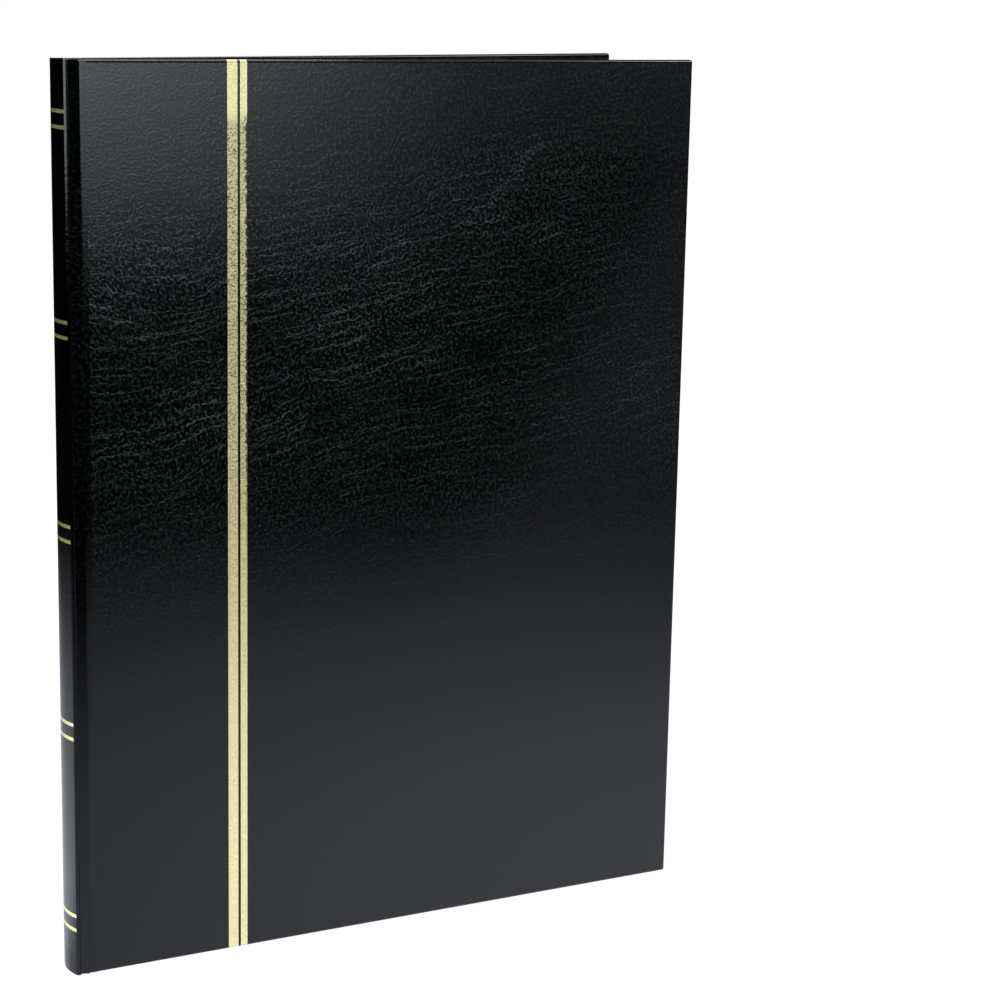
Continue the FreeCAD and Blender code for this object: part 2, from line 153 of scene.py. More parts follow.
class Graph:
    """The node tree of one material, or of the world."""

    def __init__(self, name: str, world: bpy.types.World | None = None) -> None:
        """Start an empty tree.

        Args:
            name: Name of the material.
            world: The world, where the tree is the world's and not a new material's.
        """
        self.material = world or bpy.data.materials.new(name)
        self.material.use_nodes = True
        self.tree = self.material.node_tree
        self.tree.nodes.clear()
        self.output = self.tree.nodes.new("ShaderNodeOutputWorld" if world else "ShaderNodeOutputMaterial")

    def show(self, shader: Wire) -> None:
        """Use a shader as the tree's surface."""
        self.tree.links.new(shader.socket, self.output.inputs["Surface"])

    def mixed(self, factor: Value, low: Wire, high: Wire) -> Wire:
        """Mix two shaders by a value."""
        return self.add("ShaderNodeMixShader", None, {0: factor, 1: low, 2: high})

    def rays(self) -> tuple[Wire, Wire]:
        """Whether a ray comes from the camera, and whether it is a reflection."""
        node = self.add("ShaderNodeLightPath").socket.node
        return Wire(self, node.outputs["Is Camera Ray"]), Wire(self, node.outputs["Is Glossy Ray"])

    def add(self, kind: str, settings: dict | None = None, inputs: dict | None = None,
            result: int | str = 0) -> Wire:
        """Add a node.

        Args:
            kind: The node's type.
            settings: Properties that are set before the sockets, such as an operation.
            inputs: Values or wires by socket name or number.
            result: Name or number of the output that is returned.

        Returns:
            The chosen output.
        """
        node = self.tree.nodes.new(kind)
        for key, value in (settings or {}).items():
            setattr(node, key, value)
        for key, value in (inputs or {}).items():
            if isinstance(value, Wire):
                self.tree.links.new(value.socket, node.inputs[key])
            else:
                node.inputs[key].default_value = value
        return Wire(self, node.outputs[result])

    def object_point(self, turn: float = 0.0, stretch: Sequence[float] = (1.0, 1.0, 1.0)) -> Wire:
        """Object coordinates, turned about the upright axis and stretched.

        Args:
            turn: Angle in radians that lines the x axis up with a turned sheet.
            stretch: Scale along each axis after the turn.

        Returns:
            The coordinate vector.
        """
        point = self.add("ShaderNodeTexCoord", result="Object")
        return self.add("ShaderNodeMapping", {"vector_type": "POINT"},
                        {"Vector": point, "Rotation": (0.0, 0.0, turn), "Scale": tuple(stretch)})

    def axes(self, point: Wire) -> tuple[Wire, Wire, Wire]:
        """Split a vector into its three numbers."""
        node = self.add("ShaderNodeSeparateXYZ", None, {0: point}).socket.node
        return Wire(self, node.outputs[0]), Wire(self, node.outputs[1]), Wire(self, node.outputs[2])

    def vector(self, x: Value, y: Value, z: Value) -> Wire:
        """Join three numbers into a vector."""
        return self.add("ShaderNodeCombineXYZ", None, {0: x, 1: y, 2: z})

    def noise(self, point: Wire, scale: float, detail: float = 2.0, roughness: float = 0.5) -> Wire:
        """Fractal noise from 0 to 1 at a scale in cycles per metre."""
        return self.add("ShaderNodeTexNoise", None,
                        {"Vector": point, "Scale": scale, "Detail": detail, "Roughness": roughness})

    def blend(self, factor: Wire, low: Colour | Wire, high: Colour) -> Wire:
        """Mix two colours by a value."""
        start = low if isinstance(low, Wire) else (*low, 1.0)
        return self.add("ShaderNodeMix", {"data_type": "RGBA"}, {0: factor, 6: start, 7: (*high, 1.0)}, 2)

    def bump(self, height: Wire, depth: float) -> Wire:
        """Normal of a height pattern that is depth metres tall."""
        return self.add("ShaderNodeBump", None, {"Height": height, "Distance": depth})

    def cells(self, point: Wire, density: float, result: str) -> Wire:
        """Cell pattern.

        Args:
            point: Coordinates.
            density: Cells in a metre.
            result: Name of the pattern's output, or Edge for the distance to the nearest cell edge.

        Returns:
            The chosen output.
        """
        inputs = {"Vector": point, "Scale": density}
        if result == "Edge":
            return self.add("ShaderNodeTexVoronoi", {"feature": "DISTANCE_TO_EDGE"}, inputs, "Distance")
        return self.add("ShaderNodeTexVoronoi", None, inputs, result)

    def finish(self, **sockets: Value | Colour) -> Material:
        """Add the Principled shader and return the material.

        Args:
            sockets: Values or wires for the shader's inputs, with spaces in their names as underscores.

        Returns:
            The finished material.
        """
        inputs = {}
        for name, value in sockets.items():
            inputs[name.replace("_", " ")] = (*value, 1.0) if isinstance(value, tuple) else value
        self.show(self.add("ShaderNodeBsdfPrincipled", None, inputs))
        return self.material


@dataclass(frozen=True)
class Leatherette:
    """Black grained leatherette: a net of fine ridges, and long creases that sweep across the sheet, both
    painted paler: partly wear, partly a painted highlight in place of their glints.

    Densities are in a metre, heights and places in metres, and a slope is its run and its rise.
    """

    name: str
    turn: float = 0.0
    net: float = 1.0
    crease: float = 1.0
    scuff: float = 0.0
    black: Colour = (0.0002, 0.0003, 0.0004)
    # Colour of the net and the creases: partly worn ridges, partly a painted highlight in place of their
    # glints.
    ridge: Colour = (0.044, 0.052, 0.054)
    cell_density: float = 900.0
    fleck_density: float = 980.0
    long_creases: float = 250.0
    short_creases: float = 470.0
    crease_slope: Pair = (0.98, 0.17)
    depth: float = 0.015 * MM
    smooth_below: float = 0.090
    grained_above: float = 0.185
    # Height and reach of the band where the painted glints of the net and the creases are strongest.
    handled_height: float = 0.212
    handled_reach: Pair = (0.085, 0.02)
    fold_place: Pair = (0.0325, 0.252)
    fold_slope: Pair = (0.654, 0.756)

    def material(self) -> Material:
        """Build the material.

        Returns:
            A dark satin material with netted grain and sweeping creases.
        """
        graph = Graph(self.name)
        point = graph.object_point(self.turn)
        x, y, z = graph.axes(point)
        side = x + y
        sway, lift, shiver = (graph.noise(point, density) - 0.5 for density in (9.0, 40.0, 620.0))
        fine = graph.noise(point, 1500.0, 3.0, 0.6)
        # Patches where the net and the creases are paler: partly wear, partly painted glints.
        patchy_wear_and_glint = graph.noise(point, 22.0, 4.0).ramp(0.30, 0.70)
        # Creases run up to the right: the pattern is long along them and short across them.
        run, rise = self.crease_slope
        along = side * run + z * rise
        across = z * run - side * rise + sway * 0.034 + lift * 0.008
        # The painted glints of the net and the creases, and their bumps, are strongest between the middle and
        # the upper part of the spine side.
        glint_zone = (z - self.handled_height).distance().ramp(*self.handled_reach)
        glint_zone = glint_zone * (0.35 + 0.65 * side.ramp(0.09, -0.06))
        flecks, net, jag = self._grain(graph, along, across, shiver * 0.0008)
        net = net * (0.12 + 0.11 * patchy_wear_and_glint) * self.net * (0.85 + 0.65 * glint_zone)
        net = net + self._fold(x, z, lift * 0.006) * (0.05 + 0.25 * flecks)
        fray = shiver * 0.5 + jag * 0.26
        long_ones = self._creases(graph, along, across, fray, self.long_creases, 0.0)
        short_ones = self._creases(graph, along, across, fray, self.short_creases, 3.7)
        creases = long_ones * (0.40 + 0.45 * patchy_wear_and_glint) + short_ones * 0.42
        creases = creases * (0.26 + 0.90 * glint_zone) * self.crease
        grained = z.ramp(self.smooth_below, self.grained_above)
        lines = net * (0.26 + 0.74 * grained) + creases * (0.06 + 0.94 * grained)
        lines = lines * (2.0 * fine - 0.20).greatest(0.0)
        # The net and the creases are painted paler than the black sheet: partly wear, partly a painted
        # highlight for the glints on their slopes.
        tone = graph.blend(lines.least(1.0), self.black, self.ridge)
        return graph.finish(Base_Color=tone, Roughness=0.055 + 0.03 * fine, IOR=1.5,
                            Normal=graph.bump(lines + flecks * 0.30 + fine * 0.25, self.depth))

    def _grain(self, graph: Graph, along: Wire, across: Wire, shift: Wire) -> tuple[Wire, Wire, Wire]:
        """Pebble grain of the sheet.

        Args:
            graph: The material's graph.
            along: Coordinate along the creases.
            across: Coordinate across the creases.
            shift: Fine shift that frays the net.

        Returns:
            The flecks, the flecks with a faint net between them, and a random value for each cell.
        """
        spot = graph.vector(along * 0.75 + shift, 0.0, across + shift)
        edges = graph.cells(spot, self.cell_density, "Edge")
        jag, pick, _ = graph.axes(graph.cells(spot, self.cell_density, "Color"))
        flecks = graph.noise(graph.vector(along * 1.05, 0.0, across * 0.95), self.fleck_density)
        flecks = flecks.ramp(0.46, 0.66)
        return flecks, flecks * 1.35 + edges.ramp(0.15, 0.0) * 0.25 * pick, jag

    def _fold(self, x: Wire, z: Wire, shift: Wire) -> Wire:
        """One short slanting fold near the fore-edge, which is worn paler.

        Args:
            x: Coordinate along the cover.
            z: Height.
            shift: Shift across the fold that makes it waver.

        Returns:
            1 on the fold, 0 away from it.
        """
        (foot, height), (run, rise) = self.fold_place, self.fold_slope
        on = (x - foot) * run + (z - height) * rise
        off = (x - foot) * rise - (z - height) * run + shift
        length = on.ramp(-0.006, 0.008) * on.ramp(0.042, 0.026)
        return off.distance().ramp(0.0030, 0.0006) * length * self.scuff

    @staticmethod
    def _creases(graph: Graph, along: Wire, across: Wire, fray: Wire, density: float, seed: float) -> Wire:
        """Broken wavering lines along the sheet.

        Args:
            graph: The material's graph.
            along: Coordinate along the lines.
            across: Coordinate across the lines.
            fray: Fine shift that frays them, in spacings.
            density: Lines in a metre.
            seed: Shift that gives another pattern.

        Returns:
            1 on a line, 0 away from it.
        """
        waver = graph.noise(graph.vector(along * 26.0, seed, across * density * 0.26), 1.0, 3.0) - 0.5
        broken = graph.noise(graph.vector(along * 38.0, seed + 1.0, across * density), 1.0, 3.0)
        phase = across * density + waver * 2.4 + fray
        return (phase.modulo(1.0) - 0.5).distance().ramp(0.425, 0.50) * broken.ramp(0.42, 0.62)


@dataclass(frozen=True)
class GiltFoil:
    """Pale gold stamping foil, broken up where the leatherette below it is grained. Heights in metres."""

    name: str
    turn: float = 0.0
    gold: Colour = (1.0, 0.94, 0.48)
    shade: Colour = (0.92, 0.85, 0.43)
    bare: Colour = (0.05, 0.046, 0.024)
    pit_density: float = 1900.0
    pit_depth: float = 0.018 * MM
    speck_density: float = 1250.0
    comb_density: float = 1150.0
    metal: float = 0.66
    worn: float = 1.0
    torn: float = 1.0
    tear: float = 1.0 * MM
    tear_edge: float = 0.12 * MM
    combed_from: Pair = (0.085, 0.135)
    worn_from: Pair = (0.11, 0.215)
    most_worn_from: Pair = (0.19, 0.25)
    whole_above: Pair = (0.2885, 0.2835)

    def material(self) -> Material:
        """Build the material.

        Returns:
            A rough bright metal with small dull pits.
        """
        graph = Graph(self.name)
        point = graph.object_point(self.turn)
        pits = (graph.cells(point, self.pit_density, "Edge") * 4.0).least(1.0)
        fine = graph.noise(point, 2600.0, 3.0, 0.7)
        patches = graph.noise(point, 60.0, 3.0)
        wear = (pits * 0.50 + fine * 0.65 + patches * 0.25).ramp(0.30, 0.90)
        foil = graph.blend(wear, self.shade, self.gold)
        tone = graph.blend(self._lost(graph, point, fine, patches), foil, self.bare)
        return graph.finish(Base_Color=tone, Metallic=self.metal, Roughness=0.29 - 0.06 * wear,
                            Normal=graph.bump(pits * 0.6 + fine * 0.7, self.pit_depth))

    def _lost(self, graph: Graph, point: Wire, fine: Wire, patches: Wire) -> Wire:
        """Where grained leatherette has broken the foil up, most at its torn edge.

        Args:
            graph: The material's graph.
            point: Coordinates on the foil.
            fine: Fine noise.
            patches: Coarse noise.

        Returns:
            0 on whole foil, near 1 on bare leatherette.
        """
        x, _, z = graph.axes(point)
        below_top = z.ramp(*self.whole_above)
        grained = z.ramp(*self.worn_from) * below_top * self.worn
        specks = graph.cells(graph.vector(x * 0.7, 0.0, z * 1.4), self.speck_density, "Distance")
        combed = graph.noise(graph.vector(x * 0.55, 0.0, z * 1.25 - x * 0.2), self.comb_density)
        combed = combed.ramp(0.47, 0.63) * z.ramp(*self.combed_from) * below_top * self.worn
        past_edge = graph.noise(point, 560.0, 3.0, 0.6).ramp(0.32, 0.68) * self.tear - (self.torn - x)
        lost = 0.07 + 0.12 * patches + 0.13 * z.ramp(*self.most_worn_from)
        lost = grained * (lost + 1.4 * specks.ramp(0.46, 0.14) * fine) + combed * (0.20 + 0.14 * grained)
        return (lost + grained * past_edge.ramp(0.0, self.tear_edge)).least(0.97)


@dataclass(frozen=True)
class Paper:
    """Paper, card or board: a fibrous sheet with a faint cloudy tone."""

    name: str
    pale: Colour
    dark: Colour
    fibre: float = 2200.0
    depth: float = 0.012 * MM
    roughness: float = 0.72

    def material(self) -> Material:
        """Build the material.

        Returns:
            A matt material with fibres and clouds.
        """
        graph = Graph(self.name)
        point = graph.object_point()
        fibres = graph.noise(graph.object_point(0.0, (1.0, 1.0, 0.35)), self.fibre, 4.0, 0.65)
        clouds = graph.noise(point, 60.0, 3.0)
        tone = (fibres * 0.55 + clouds * 0.45).ramp(0.25, 0.75)
        return graph.finish(Base_Color=graph.blend(tone, self.dark, self.pale),
                            Roughness=self.roughness + 0.08 * (fibres - 0.5),
                            Normal=graph.bump(fibres, self.depth))


@dataclass(frozen=True)
class Glassine:
    """Clear or milky glassine, thin and glossy, with faint flow lines."""

    name: str
    tint: Colour
    shade: Colour
    opacity: float
    haze: float
    ripple: float = 0.25 * MM

    def material(self) -> Material:
        """Build the material.

        Returns:
            A glossy see-through film.
        """
        graph = Graph(self.name)
        point = graph.object_point(0.0, (0.12, 1.0, 1.0))
        streaks = graph.noise(point, 260.0, 3.0, 0.55)
        clouds = graph.noise(graph.object_point(), 45.0, 2.0)
        film = (streaks * 0.5 + clouds * 0.5).ramp(0.3, 0.7)
        return graph.finish(Base_Color=graph.blend(film, self.shade, self.tint), IOR=1.45,
                            Roughness=0.16 + 0.12 * film, Alpha=self.opacity + self.haze * film,
                            Normal=graph.bump(clouds, self.ripple))


@dataclass(frozen=True)
class Linen:
    """Fine plain-woven linen tape."""

    name: str
    pale: Colour = (0.80, 0.80, 0.78)
    dark: Colour = (0.58, 0.57, 0.54)
    thread: float = 0.32 * MM
    depth: float = 0.04 * MM

    def material(self) -> Material:
        """Build the material.

        Returns:
            A matt cloth with warp and weft threads.
        """
        graph = Graph(self.name)
        point = graph.object_point()
        x, y, z = graph.axes(point)
        wobble = graph.noise(point, 500.0, 2.0) - 0.5
        turns = 2 * math.pi / self.thread
        warp = ((x + y) * turns + wobble * 2.0).sine()
        weft = (z * turns + wobble * 2.0).sine()
        weave = warp * weft * 0.5 + 0.5
        fuzz = graph.noise(point, 1800.0, 3.0)
        tone = (weave * 0.6 + fuzz * 0.4).ramp(0.2, 0.8)
        return graph.finish(Base_Color=graph.blend(tone, self.dark, self.pale), Roughness=0.85 - 0.05 * weave,
                            Normal=graph.bump(weave, self.depth))


def deselect() -> None:
    """Leave edit mode and select nothing."""
    if bpy.context.object and bpy.context.object.mode != "OBJECT":
        bpy.ops.object.mode_set(mode="OBJECT")
    bpy.ops.object.select_all(action="DESELECT")


def activate(piece: Piece) -> None:
    """Make a piece the only selected and active object.

    Args:
        piece: The object.
    """
    deselect()
    piece.select_set(True)
    bpy.context.view_layer.objects.active = piece


def settle(piece: Piece) -> None:
    """Put a piece's place, turn and scale into its mesh."""
    activate(piece)
    bpy.ops.object.transform_apply(location=True, rotation=True, scale=True)


def pick_faces(piece: Piece, wanted: Callable[[Vector, Vector], bool]) -> None:
    """Select the faces whose centre and normal pass a test, and enter edit mode."""
    _pick(piece, piece.data.polygons, (False, False, True), lambda f: wanted(f.center, f.normal))


def pick_edges(piece: Piece, wanted: Callable[[Vector, Vector], bool]) -> None:
    """Select the edges whose two ends pass a test, and enter edit mode."""
    ends = [vertex.co.copy() for vertex in piece.data.vertices]
    _pick(piece, piece.data.edges, (False, True, False), lambda e: wanted(*(ends[i] for i in e.vertices)))


def pick_points(piece: Piece, wanted: Callable[[Vector], bool]) -> None:
    """Select the vertices whose place passes a test, and enter edit mode."""
    _pick(piece, piece.data.vertices, (True, False, False), lambda v: wanted(v.co))


def _pick(piece: Piece, elements: Iterable, mode: tuple[bool, bool, bool],
          wanted: Callable[[object], bool]) -> None:
    """Select the elements that pass a test, and nothing else, and enter edit mode.

    Args:
        piece: The mesh object.
        elements: Its vertices, edges or faces.
        mode: Whether edit mode selects vertices, edges and faces.
        wanted: Test of one element.
    """
    activate(piece)
    for group in (piece.data.vertices, piece.data.edges, piece.data.polygons):
        group.foreach_set("select", [False] * len(group))
    for element in elements:
        element.select = bool(wanted(element))
    bpy.context.tool_settings.mesh_select_mode = mode
    bpy.ops.object.mode_set(mode="EDIT")


def leave() -> None:
    """Go back to object mode."""
    bpy.ops.object.mode_set(mode="OBJECT")


def modify(piece: Piece, kind: str, **settings: object) -> None:
    """Add one modifier and apply it.

    Args:
        piece: The mesh object.
        kind: The modifier's type.
        settings: Its properties.
    """
    activate(piece)
    modifier = piece.modifiers.new(kind.lower(), kind)
    for key, value in settings.items():
        setattr(modifier, key, value)
    bpy.ops.object.modifier_apply(modifier=modifier.name)


def block(name: str, low: Vector, high: Vector) -> Piece:
    """Add a cube primitive between two corners.

    Args:
        name: Name of the piece.
        low: Lowest corner.
        high: Highest corner.

    Returns:
        The new object, with its place in its mesh.
    """
    deselect()
    bpy.ops.mesh.primitive_cube_add(size=1.0, location=(low + high) / 2)
    piece = bpy.context.object
    piece.name = name
    piece.scale = high - low
    settle(piece)
    return piece


def smooth(piece: Piece, degrees: float = 40.0) -> None:
    """Shade a piece smooth across edges flatter than an angle."""
    activate(piece)
    bpy.ops.object.shade_smooth_by_angle(angle=math.radians(degrees))


def dress(piece: Piece, material: Material) -> None:
    """Give a piece one material."""
    piece.data.materials.clear()
    piece.data.materials.append(material)


def curve(places: Sequence[Pair], steps: int = 5) -> list[Pair]:
    """Smooth curve through plan points.

    Args:
        places: The points that the curve passes through.
        steps: Points on each span.

    Returns:
        Points along the curve, with both ends.
    """
    spots = [Vector(p) for p in places]
    result = []
    for index in range(len(spots) - 1):
        a, b = spots[index], spots[index + 1]
        before = spots[index - 1] if index else 2 * a - b
        after = spots[index + 2] if index + 2 < len(spots) else 2 * b - a
        for step in range(steps):
            t = step / steps
            spot = 0.5 * (2 * a + (b - before) * t + (2 * before - 5 * a + 4 * b - after) * t ** 2
                          + (3 * a - before - 3 * b + after) * t ** 3)
            result.append((spot.x, spot.y))
    return result + [tuple(spots[-1])]


def sheet(name: str, plan: Sequence[Vector], height: float, foot: float = 0.0) -> Piece:
    """Model an upright sheet whose columns follow a plan curve.

    Args:
        name: Name of the piece.
        plan: Points in plan, one for each column.
        height: Height of the sheet.
        foot: Height of its lower edge above the floor.

    Returns:
        The sheet, without thickness.
    """
    deselect()
    spans = len(plan) - 1
    bpy.ops.mesh.primitive_grid_add(x_subdivisions=spans, y_subdivisions=SHEET_ROWS, size=1.0)
    piece = bpy.context.object
    piece.name = name
    piece.rotation_euler = (math.pi / 2, 0.0, 0.0)
    piece.scale = (spans, height, 1.0)
    piece.location = (spans / 2, 1.0, foot + height / 2)
    settle(piece)
    # The columns wait a metre behind the origin, a metre apart, and each is moved from there to its place.
    for index, place in enumerate(plan):
        pick_points(piece, lambda p: p.y > 0.5 and abs(p.x - index) < 0.1)
        bpy.ops.transform.translate(value=(place.x - index, place.y - 1.0, 0.0))
        leave()
    return piece


def thicken(piece: Piece, thickness: float, outward: Vector) -> None:
    """Give a sheet a wall behind its face, with outward normals and smooth shading.

    Args:
        piece: The sheet.
        thickness: Wall that lies behind the sheet.
        outward: Direction that the sheet's faces look to.
    """
    face_outwards(piece)
    facing = sum((f.normal.dot(outward) * f.area for f in piece.data.polygons), 0.0)
    modify(piece, "SOLIDIFY", thickness=thickness, offset=-1.0 if facing > 0 else 1.0, use_even_offset=True)
    face_outwards(piece)
    smooth(piece, SMOOTH_ANGLE)


def face_outwards(piece: Piece) -> None:
    """Make a piece's normals agree.

    Args:
        piece: The mesh object.
    """
    activate(piece)
    bpy.ops.object.mode_set(mode="EDIT")
    bpy.ops.mesh.select_all(action="SELECT")
    bpy.ops.mesh.normals_make_consistent(inside=False)
    leave()


class Hinge:
    """One cover's upright hinge line, and its turn from shut to the rest pose."""

    def __init__(self, joints: Sequence[dict], side: Side) -> None:
        """Read the hinge from the frame's joints.

        Args:
            joints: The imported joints.
            side: Which cover.
        """
        joint = next(j for j in joints if j["name"] == f"{side.label}_cover_hinge")
        self.side = side
        self.place = Vector(joint["pos_m"])
        self.turn = -math.radians(joint["range_deg"][0]) * side.value
        centre = Matrix.Translation(self.place)
        self.opened = centre @ Matrix.Rotation(self.turn, 4, "Z") @ centre.inverted()

    def shut_box(self, node: Piece) -> tuple[Vector, Vector]:
        """Box of a node with its cover turned back to shut.

        Args:
            node: A CAD node that rides on the cover.

        Returns:
            Lowest and highest corner.
        """
        back = self.opened.inverted()
        points = [back @ v.co for v in node.data.vertices]
        low = Vector(min(p[i] for p in points) for i in range(3))
        high = Vector(max(p[i] for p in points) for i in range(3))
        return low, high

    def open_up(self, piece: Piece) -> None:
        """Turn a piece that was modelled shut to the rest pose."""
        piece.matrix_world = self.opened
        settle(piece)


@dataclass
class Cover:
    """One cover: the leatherette wrapped round its board, and the foil stripes of the front."""

    side: Side
    hinge: Hinge
    nodes: dict[str, Piece]
    edge_radius: float = 0.85 * MM
    edge_segments: int = 4
    rim: float = 0.3 * MM
    seam_width: float = 0.22 * MM
    seam_depth: float = 0.25 * MM
    foil_lift: float = 0.03 * MM

    def build(self) -> list[Piece]:
        """Model the cover's pieces.

        Returns:
            The new pieces, riding on the cover's body.
        """
        name = f"{self.side.label}_cover_skin"
        low, high = self.hinge.shut_box(self.nodes[f"{self.side.label}_leatherette"])
        skin = block(name, low, high)
        self._round_edges(skin)
        self._mitre(skin, low, high)
        pieces = [skin]
        if self.side is Side.FRONT:
            pieces.append(self._foil(skin, low))
        smooth(skin)
        scuff = 1.0 if self.side is Side.FRONT else 0.0
        finish = Leatherette(f"leatherette_{self.side.label}", -self.hinge.turn, scuff=scuff)
        dress(skin, finish.material())
        for piece in pieces:
            self.hinge.open_up(piece)
            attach(piece, f"{self.side.label}_cover")
        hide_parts(f"{self.side.label}_leatherette")
        return pieces

    def _round_edges(self, skin: Piece) -> None:
        """Round all edges of the wrapped board.

        Args:
            skin: The cover's skin, still a plain block.
        """
        pick_edges(skin, lambda a, b: True)
        bpy.ops.mesh.bevel(offset=self.edge_radius, segments=self.edge_segments, profile=0.5, affect="EDGES")
        leave()
        # A narrow rim keeps the wide faces flat to the eye beside the rounded edges.
        pick_faces(skin, lambda c, n: abs(n.y) > SAME_WAY)
        bpy.ops.mesh.inset(thickness=self.rim)
        leave()

    def _mitre(self, skin: Piece, low: Vector, high: Vector) -> None:
        """Cut the slanted seams where two turn-ins meet at the fore-edge corners.

        Args:
            skin: The cover's skin.
            low: Its lowest corner with the cover shut.
            high: Its highest corner.
        """
        inward = -self.side.value
        inner_y = high.y if self.side is Side.FRONT else low.y
        for corner_z, slope in ((low.z, 1.0), (high.z, -1.0)):
            corner = Vector((high.x, inner_y, corner_z))
            across = Vector((1.0, 0.0, slope)).normalized()

            def on_seam(place: Vector) -> bool:
                """Whether a place lies on the seam."""
                return abs((place - corner).dot(across)) < SAME_PLACE and abs(place.y - inner_y) < SAME_PLACE

            pick_faces(skin, lambda c, n: n.y * inward > SAME_WAY)
            bpy.ops.mesh.bisect(plane_co=corner, plane_no=across)
            leave()
            pick_edges(skin, lambda a, b: on_seam(a) and on_seam(b))
            bpy.ops.mesh.bevel(offset=self.seam_width, segments=2, affect="EDGES")
            leave()
            pick_points(skin, on_seam)
            bpy.ops.transform.translate(value=(0.0, -inward * self.seam_depth, 0.0))
            leave()

    def _foil(self, skin: Piece, low: Vector) -> Piece:
        """Lift the two stripes off the skin as foil, over its rounded edges too.

        Args:
            skin: The front cover's skin.
            low: Its lowest corner with the cover shut.

        Returns:
            The foil of both stripes.
        """
        spans = self._stripe_spans()
        for x in (x for span in spans for x in span):
            pick_faces(skin, lambda c, n: True)
            bpy.ops.mesh.bisect(plane_co=(x, 0.0, 0.0), plane_no=(1.0, 0.0, 0.0))
            leave()
        outside = low.y + self.edge_radius
        pick_faces(skin, lambda c, n: c.y < outside and any(a < c.x < b for a, b in spans))
        bpy.ops.mesh.duplicate()
        bpy.ops.mesh.separate(type="SELECTED")
        leave()
        foil = next(o for o in bpy.context.selected_objects if o != skin)
        foil.name = "front_foil"
        modify(foil, "SOLIDIFY", thickness=self.foil_lift, offset=1.0)
        smooth(foil)
        dress(foil, GiltFoil("gilt_foil_front", -self.hinge.turn, torn=spans[1][1]).material())
        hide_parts("front_foil_stripes")
        return foil

    def _stripe_spans(self) -> list[Pair]:
        """Find the two stripes of the foil node.

        Returns:
            Start and end of each stripe along x, with the cover shut.
        """
        back = self.hinge.opened.inverted()
        places = sorted({round((back @ v.co).x, 6) for v in self.nodes["front_foil_stripes"].data.vertices})
        return [(places[0], places[1]), (places[2], places[3])]


@dataclass(frozen=True)
class CaseShape:
    """Sizes of the case that its soft parts share."""

    apex: float
    middle: float
    radius: float
    half_angle: float
    height: float
    face: float

    @classmethod
    def read(cls, nodes: dict[str, Piece]) -> "CaseShape":
        """Read the sizes from the CAD nodes of the spine and of the front cover, which stands shut.

        Args:
            nodes: The frame's nodes.

        Returns:
            The case's sizes.
        """
        points = [v.co for v in nodes["spine_leatherette"].data.vertices]
        apex = min(p.x for p in points)
        front, back = min(points, key=lambda p: p.y), max(points, key=lambda p: p.y)
        bulge, chord = back.x - apex, (back.y - front.y) / 2
        radius = (chord ** 2 + bulge ** 2) / (2 * bulge)
        middle = (front.y + back.y) / 2
        face = middle - min(v.co.y for v in nodes["front_leatherette"].data.vertices)
        return cls(apex, middle, radius, math.asin(chord / radius), max(p.z for p in points), face)

    def shut_point(self, along: float, depth: float, side: Side) -> Vector:
        """Plan point of the shut case.

        Args:
            along: Distance from the spine's apex in mm.
            depth: Depth below the cover's outer face in mm.
            side: Which cover.

        Returns:
            The point on the floor.
        """
        return Vector((self.apex + along * MM, self.middle + side.value * (self.face - depth * MM), 0.0))


# Plan of one side of the case with its cover shut, after the spine's arc: the shoulder, the groove and the
# rise onto the board. In mm: distance from the spine's apex, and depth below the cover's outer face.
JOINT_PLAN = ((1.62, 0.62), (1.85, 0.46), (2.10, 0.31), (2.35, 0.17), (2.50, 0.11), (2.60, 0.12),
              (2.70, 0.27), (2.85, 0.64), (3.00, 0.97), (3.12, 1.10), (3.22, 1.10), (3.40, 1.05),
              (4.00, 0.84), (4.70, 0.60), (5.40, 0.36), (5.95, 0.17), (6.30, 0.05), (6.65, 0.0),
              (7.40, -0.015), (8.60, -0.015))

# Plan of the linen inside one joint, in the same measures: along the block's side, across to the cover
# and on it.
LINEN_PLAN = ((2.62, 3.42), (3.20, 3.42), (3.75, 3.40), (4.60, 3.22), (5.60, 2.99), (6.40, 2.88),
              (8.00, 2.875), (14.00, 2.875))


@dataclass
class Bend:
    """A strip between the spine and one cover, whose plan turns by a share of the cover's turn that grows
    from the spine towards the cover.

    Both limits of the bend are distances from the spine's apex.
    """

    side: Side
    hinge: Hinge
    shape: CaseShape
    still_before: float
    turned_after: float

    def rest(self, along: float, depth: float) -> Vector:
        """Place in the rest pose of a plan point of the strip.

        Args:
            along: Distance from the spine's apex in mm, with the cover shut.
            depth: Depth below the cover's outer face in mm.

        Returns:
            The point on the floor.
        """
        shut = self.shape.shut_point(along, depth, self.side)
        share = (shut.x - self.shape.apex - self.still_before) / (self.turned_after - self.still_before)
        share = min(max(share, 0.0), 1.0)
        share = share * share * (3 - 2 * share)
        arm = shut - self.hinge.place
        arm.rotate(Matrix.Rotation(self.hinge.turn * share, 3, "Z"))
        return arm + self.hinge.place

    def tie(self, strip: Piece, node: str) -> None:
        """Put a strip in place of a CAD node: its place goes into its mesh and the node is hidden.

        Args:
            strip: The strip.
            node: Name of the CAD node.
        """
        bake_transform(strip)
        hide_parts(node)


